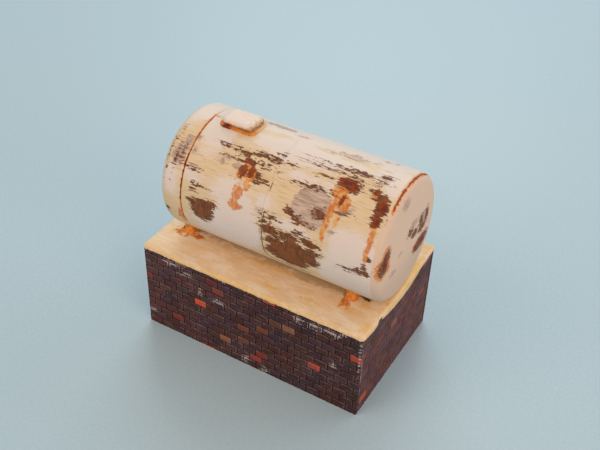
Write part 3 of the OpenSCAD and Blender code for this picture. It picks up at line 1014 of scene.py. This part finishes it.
def make_brick_sheet(side, along_axis, outward, accents, scuffs, painted_lightness, seed, material):
    """One embossed sheet. The relief looks outward, and the joints run into the sheet's edges."""
    node = f"brick_panel_{side}"
    low, high = box_mm(node)
    start, end = low[along_axis], high[along_axis]
    columns = mesh_lines(BOND_START[0], BRICK_LENGTH / 2, END_JOINT_LINES, start, end)
    rows = mesh_lines(FIRST_COURSE_LINE, COURSE, COURSE_JOINT_LINES, low[2], high[2])
    place, height = np.meshgrid(columns, rows)
    distance = joint_distance(place, height)
    raised = smooth_step(distance, 0.11, 0.31)
    to_edge = np.minimum(np.minimum(place - start, end - place), high[2] - height)
    # Each brick stands a little less proud than the full relief; the first may start left of the sheet.
    course = course_of(height)
    proud = np.random.default_rng(seed).uniform(-0.05, 0.0, (40, 60))[course, brick_of(place, course) + 2]
    relief = raised * (RELIEF + proud) - 0.12 * (1 - smooth_step(to_edge, 0, 0.25)) * raised
    across = 1 - along_axis
    face = (high if outward > 0 else low)[across] - outward * RELIEF
    back = (low if outward > 0 else high)[across]

    def grid(outer):
        made = np.empty(place.shape + (3,))
        made[..., along_axis] = place
        made[..., across] = outer
        made[..., 2] = height
        return made

    front = grid(face + outward * relief)
    inner = smooth_step(to_edge, 0.3, 1.5) * smooth_step(height, 0.3, 1.5)
    front[..., 2] += 0.13 * inner * lumps(front, 14, seed)
    front[..., along_axis] += 0.13 * inner * lumps(front, 11, seed + 1)
    front[..., across] += 0.02 * lumps(front, 2.5, seed + 2) * inner
    points, faces = grid_solid(front, grid(back))
    edge = raised * (1 - smooth_step(distance, 0.31, 1.0))
    fields = {"joint": 1 - raised, "edge": edge, "scuff": patch_field(place, height, scuffs)}
    fields = {name: np.tile(values.ravel(), 2) for name, values in fields.items()}
    name = f"brick_sheet_{side}"
    made = piece(name, node, material, points, faces, fields, sharp=60)
    flat = np.tile(np.column_stack([place.ravel(), height.ravel()]), (2, 1))
    centres = np.array([flat[corners].mean(axis=0) for corners in faces])
    colours = brick_colours(centres[:, 0], centres[:, 1], accents, painted_lightness, seed)
    attribute = made.data.attributes.new("brick", "FLOAT_COLOR", "FACE")
    attribute.data.foreach_set("color", colours.astype(np.float32).ravel())


# ---- ground skim

# How far the skim hangs below the sheets' top along the right face, as (y, drop).
RIGHT_DROP = [
    (-28.5, 0.3), (-26, 0.9), (-23, 1.5), (-20, 1.9), (-17, 1.5), (-15, 0.6), (-14, 1.6), (-11, 2.3),
    (-7, 3.0), (-3, 3.5), (2, 3.7), (8, 3.5), (12, 2.6), (16, 1.4), (21, 0.5), (28.5, 0.2),
]

# Stains, gaps and painted shadows on the skim, as (x, y, half length, half width).
GROUND_ORANGE = [
    (-35.6, -13, 3.6, 3.4), (-31.5, -14.4, 2.4, 1.8), (-38.5, -14.5, 2.4, 2.4), (31, -13, 2.8, 3.4),
    (31.5, -17, 3, 2.2), (31.7, 9.9, 3.4, 4), (-35.6, 9.9, 3.6, 4),
]
GROUND_OCHRE = [
    (37.5, -13, 3.4, 4), (43.4, 4, 2.6, 27), (-30, -14.5, 6, 1.6), (0, -14, 32, 1.2), (0, -28.7, 60, 1.5),
    (43, -24, 2.6, 5), (-39, -15, 4, 4.4), (20, -22, 6, 1.6), (5, -23, 5, 1.4), (34, -19, 5, 2.4),
]
# Painted shade on the skim along the tank's foot and under the tank.
GROUND_TANK_SHADE = [(0, -9, 42, 5), (-34, -10, 7, 3), (16, -12, 14, 3), (0, 5, 40, 10)]
GROUND_TORN = [(44.6, -16.4, 1.4, 1.6)]
# Painted shadows in the gaps under the tank beside the right and left front feet.
GROUND_PAINTED_SHADOWS = [(36.4, -10, 2.8, 2.2), (-38.6, -11.6, 0.9, 1.3)]
# The rust at the front feet that stands up a little.
GROUND_RAISED = GROUND_ORANGE[:4]
GROUND_OUTLINE_POINTS = 720


def make_ground(material):
    """The filler on top: uneven, with soft edges and a ragged lip over the sheets."""
    length, width = (GROUND_HIGH - GROUND_LOW)[:2]
    middle = (GROUND_LOW + GROUND_HIGH)[:2] / 2
    top = GROUND_HIGH[2]
    # The levels below zero stand for the lip's tip, whose height changes round the outline.
    levels = [
        (0.4, LIP_OUT, SHEET_TOP), (1, LIP_OUT + 1, SHEET_TOP), (1, LIP_OUT + 0.12, SHEET_TOP - 0.01),
        (1, LIP_OUT + 0.1, -1), (1, 0.26, -1), (1, 0.12, -0.8), (1, 0, SHEET_TOP), (1, 0, SHEET_TOP + 0.5),
        (1, 0.1, top - 0.35), (1, 0.35, top - 0.12), (1, 0.8, top - 0.03), (1, 1.5, top),
        *[(scale, 0, top) for scale in np.arange(0.94, 0.05, -0.028)],
    ]
    points, faces = ring_solid(slab_rings(length, width, 1.2, GROUND_OUTLINE_POINTS, levels))
    local = points.copy()
    y = local[:, 1] + middle[1]
    flat = np.column_stack([local[:, :2], 0 * y])
    drop = 0.35 + 0.2 * lumps(flat, 9, 31) + 0.16 * lumps(flat, 1.6, 32)
    on_right = local[:, 0] > length / 2 - 0.8
    drop = np.where(on_right, np.interp(y, *zip(*RIGHT_DROP)) + 0.12 * lumps(local, 2.5, 33), drop)
    drop = np.clip(drop, 0.08, 4)
    hanging = local[:, 2] < 0
    points[hanging, 2] = SHEET_TOP - drop[hanging] + np.where(local[hanging, 2] > -0.9, 0.18, 0)
    points[:, :2] += middle
    on_top = smooth_step(local[:, 2], top - 0.4, top - 0.05)
    points[:, 2] += 0.1 * on_top * lumps(points, 13, 35)
    points[:, 2] += 0.12 * on_top * np.clip(plan_field(points, GROUND_RAISED), 0, 1)
    lists = {"orange": GROUND_ORANGE, "ochre": GROUND_OCHRE, "tank_shade": GROUND_TANK_SHADE, "torn_and_shadow": GROUND_PAINTED_SHADOWS}
    fields = {name: plan_field(points, patches) for name, patches in lists.items()}
    on_lip = on_right & (local[:, 2] < top - 0.5)
    fields["torn_and_shadow"] = np.maximum(fields["torn_and_shadow"], np.where(on_lip, plan_field(points, GROUND_TORN), -1))
    piece("ground_skim", "ground_top", material, points, faces, fields)


# ---- the set

# The camera's azimuth, elevation and roll in degrees, its aim and distance in metres, its lens in mm.
CAMERA_ANGLES = (29.394, 37.678, 2.168)
CAMERA_AIM = Vector((-0.00868, 0.02135, 0.02925))
CAMERA_DISTANCE = 0.3482
CAMERA_LENS = 53.73
CAMERA_SENSOR = 36

# A light's name, its place in metres, its watts and its linear colour.
LIGHTS = [
    ("window", (-0.4, 0.85, 0.8), 4.3, (0.8, 0.98, 1.0)),
    ("window_right", (0.55, 0.8, 0.5), 1.9, (1.0, 1.0, 0.97)),
    ("fill_right", (1.0, -0.5, 0.5), 5.8, (1.0, 0.6, 0.38)),
    ("fill_left", (-0.5, -0.85, 0.8), 4.1, (1.0, 0.76, 0.58)),
]
LIGHT_SIZE = 0.9
LIGHT_AIM = Vector((0, 0, 0.04))
ROOM_COLOUR = (1.0, 0.97, 0.91, 1)
ROOM_STRENGTH = 0.54
FLOOR_REACH = 6.0


def place_camera():
    azimuth, elevation, roll = (math.radians(angle) for angle in CAMERA_ANGLES)
    back = Vector((
        math.sin(azimuth) * math.cos(elevation), -math.cos(azimuth) * math.cos(elevation), math.sin(elevation)
    ))
    level = Vector((math.cos(azimuth), math.sin(azimuth), 0))
    upright = back.cross(level)
    right = math.cos(roll) * level + math.sin(roll) * upright
    up = math.cos(roll) * upright - math.sin(roll) * level
    lens = bpy.data.cameras.new("camera")
    lens.lens = CAMERA_LENS
    lens.sensor_width = CAMERA_SENSOR
    lens.clip_start = 0.01
    camera = add_object("camera", lens)
    turn = Matrix((right, up, back)).transposed().to_4x4()
    camera.matrix_world = Matrix.Translation(CAMERA_AIM + CAMERA_DISTANCE * back) @ turn
    bpy.context.scene.camera = camera


def area_light(name, place, power, colour):
    """A soft round light turned to the object's middle."""
    data = bpy.data.lights.new(name, "AREA")
    data.shape = "DISK"
    data.size = LIGHT_SIZE
    data.energy = power
    data.color = colour
    lamp = add_object(name, data)
    lamp.location = place
    lamp.rotation_euler = (LIGHT_AIM - Vector(place)).to_track_quat("-Z", "Y").to_euler()


def make_lights():
    for light in LIGHTS:
        area_light(*light)
    world = bpy.data.worlds.new("room")
    world.use_nodes = True
    background = world.node_tree.nodes["Background"]
    background.inputs["Color"].default_value = ROOM_COLOUR
    background.inputs["Strength"].default_value = ROOM_STRENGTH
    bpy.context.scene.world = world
    bpy.context.scene.view_settings.view_transform = "Standard"


def make_floor():
    mesh = bpy.data.meshes.new("floor")
    corners = [(x * FLOOR_REACH, y * FLOOR_REACH, 0) for x, y in ((-1, -1), (1, -1), (1, 1), (-1, 1))]
    mesh.from_pydata(corners, [], [(0, 1, 2, 3)])
    mesh.materials.append(floor_paint())
    add_object("floor", mesh)


def build():
    place_camera()
    paint = tank_paint()
    make_tub(paint)
    make_cap(paint)
    make_plate(paint)
    rust = rust_paint()
    make_flange(rust)
    make_lid(hatch_paint())
    for foot in ("foot_front_left", "foot_front_right", "foot_rear_left", "foot_rear_right"):
        make_foot(foot, rust)
    bricks = brick_paint()
    for sheet in SHEETS:
        make_brick_sheet(*sheet, bricks)
    make_ground(ground_paint())
    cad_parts["base_core"].material_slots[0].material = wood()
    make_floor()
    make_lights()


build()
